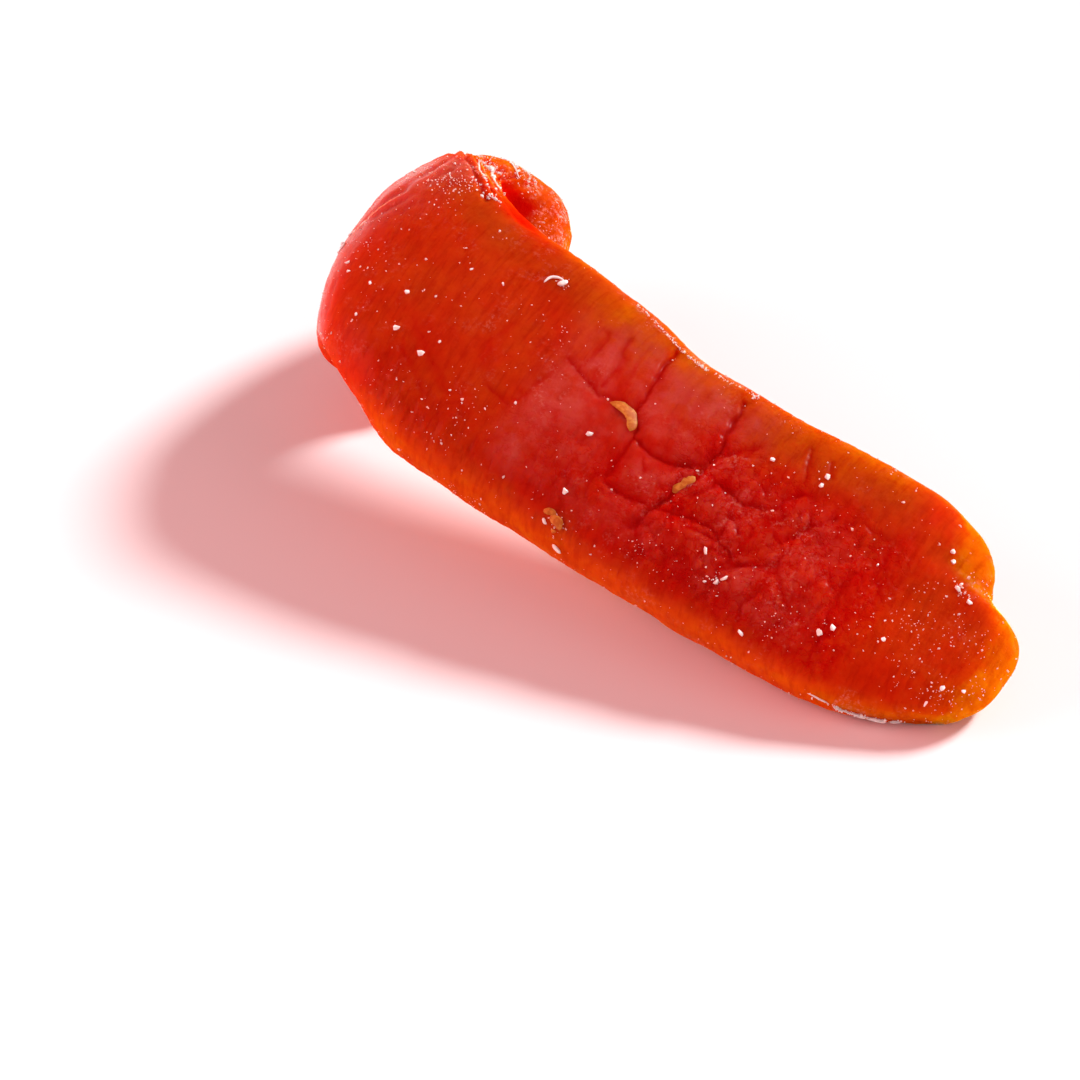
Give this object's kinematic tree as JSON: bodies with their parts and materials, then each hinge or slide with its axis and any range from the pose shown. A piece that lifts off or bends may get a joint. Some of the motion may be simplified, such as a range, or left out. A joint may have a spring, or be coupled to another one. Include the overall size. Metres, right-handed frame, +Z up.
{
  "type": "dried papaya spear",
  "caption": "Dried, candied papaya spear: a long wrinkled slice, one end folded under itself, the other blunt and lobed, glossy red flesh with orange sides and sugar crystals",
  "frame": {"origin": "Centre of the object's bounding box in X and Y, at the level of the surface that it lies on.", "axes": "+X runs along the body from the fold to the blunt lobed end, +Y to the back edge, where the folded end shows, and +Z up. The seed side faces up and leans to -Y."},
  "size_m": [0.1016, 0.0552, 0.0305],
  "materials": {
    "candied_flesh": "glossy translucent candied fruit flesh, deep red on the seed side and orange at the edges and skin side, with a light frost of sugar"
  },
  "bodies": {
    "root": {"papaya_spear": "candied_flesh"}
  },
  "joints": []
}
